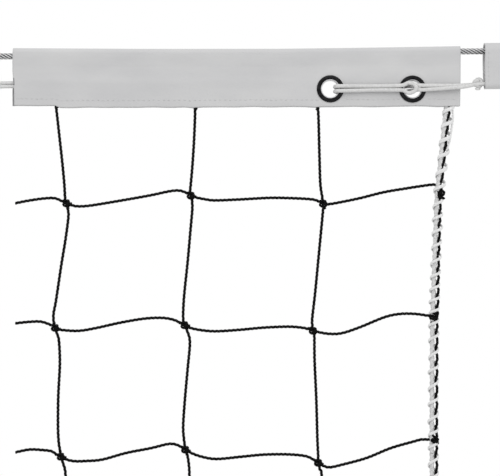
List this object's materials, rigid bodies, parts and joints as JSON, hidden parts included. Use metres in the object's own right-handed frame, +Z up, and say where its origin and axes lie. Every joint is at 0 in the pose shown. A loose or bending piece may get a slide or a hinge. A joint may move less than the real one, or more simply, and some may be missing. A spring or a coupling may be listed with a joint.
{
  "type": "volleyball net corner panel",
  "caption": "Corner panel of a knotted square-mesh sports net: vinyl headband on a steel headline cable, laced eyelets, end cover and a laced rope border.",
  "frame": {"origin": "centre of the bore through the left cable eye's thimble", "axes": "+X along the headline cable to the right eye, +Z up, the net's front faces -Y and the bores through the eyes lie along Y"},
  "size_m": [0.5512, 0.0143, 0.4292],
  "materials": {
    "cable_steel": "bare stranded galvanised steel wire rope",
    "thimble_zinc": "zinc plated, dull",
    "ferrule_aluminium": "pressed aluminium, satin with die marks",
    "band_vinyl": "vinyl-coated polyester cloth, smooth and slightly dull",
    "stitch_thread": "twisted polyester sewing thread",
    "eyelet_metal": "plated, polished grey",
    "white_cord": "braided white nylon cord",
    "border_rope_fibre": "three-strand white rope",
    "border_lacing_cord": "soft white braided lacing",
    "selvage_twine": "black twisted nylon twine",
    "net_twine": "black twisted nylon twine, knotted"
  },
  "bodies": {
    "cable": {"steel_cable": "cable_steel", "left_cable_loop": "cable_steel", "right_cable_loop": "cable_steel", "left_thimble": "thimble_zinc", "right_thimble": "thimble_zinc", "left_ferrule": "ferrule_aluminium", "right_ferrule": "ferrule_aluminium"},
    "headband": {"headband": "band_vinyl", "hem_stitching": "stitch_thread", "left_eyelet": "eyelet_metal", "left_eyelet_washer": "eyelet_metal", "right_eyelet": "eyelet_metal", "right_eyelet_washer": "eyelet_metal", "head_cord": "white_cord", "head_cord_knot": "white_cord", "lacing_cord": "white_cord", "stopper_knot": "white_cord", "end_knot": "white_cord", "top_selvage": "selvage_twine", "hem_knots": "net_twine"},
    "cover": {"cable_cover": "band_vinyl", "cover_stitching": "stitch_thread"},
    "row_1": {"drop_twine_a1": "net_twine", "drop_twine_b1": "net_twine", "drop_twine_c1": "net_twine", "border_rope_1": "border_rope_fibre", "border_selvage_1": "selvage_twine", "border_lacing_1": "border_lacing_cord", "cross_twine_1": "net_twine", "net_knots_1": "net_twine", "side_knot_1": "net_twine"},
    "row_2": {"drop_twine_a2": "net_twine", "drop_twine_b2": "net_twine", "drop_twine_c2": "net_twine", "border_rope_2": "border_rope_fibre", "border_selvage_2": "selvage_twine", "border_lacing_2": "border_lacing_cord", "cross_twine_2": "net_twine", "net_knots_2": "net_twine", "side_knot_2": "net_twine"},
    "row_3": {"drop_twine_a3": "net_twine", "drop_twine_b3": "net_twine", "drop_twine_c3": "net_twine", "border_rope_3": "border_rope_fibre", "border_selvage_3": "selvage_twine", "border_lacing_3": "border_lacing_cord", "cross_twine_3": "net_twine", "net_knots_3": "net_twine", "side_knot_3": "net_twine"},
    "row_4": {"drop_twine_a4": "net_twine", "drop_twine_b4": "net_twine", "drop_twine_c4": "net_twine", "border_rope_4": "border_rope_fibre", "border_selvage_4": "selvage_twine", "border_lacing_4": "border_lacing_cord", "foot_knots": "net_twine"}
  },
  "joints": [
    {"name": "net_swing", "type": "hinge", "parent": "cable", "child": "headband", "pos_m": [0, 0, 0.0026], "axis": [1, 0, 0], "range_deg": [-60, 60]},
    {"name": "cover_slide", "type": "slide", "parent": "headband", "child": "cover", "axis": [1, 0, 0], "range_m": [0, 0.006]},
    {"name": "hem_fold", "type": "hinge", "parent": "headband", "child": "row_1", "pos_m": [0, 0, -0.0416], "axis": [1, 0, 0], "range_deg": [-60, 60]},
    {"name": "row_2_fold", "type": "hinge", "parent": "row_1", "child": "row_2", "pos_m": [0, 0, -0.112], "axis": [1, 0, 0], "range_deg": [-60, 60]},
    {"name": "row_3_fold", "type": "hinge", "parent": "row_2", "child": "row_3", "pos_m": [0, 0, -0.2115], "axis": [1, 0, 0], "range_deg": [-60, 60]},
    {"name": "row_4_fold", "type": "hinge", "parent": "row_3", "child": "row_4", "pos_m": [0, 0, -0.313], "axis": [1, 0, 0], "range_deg": [-60, 60]}
  ]
}
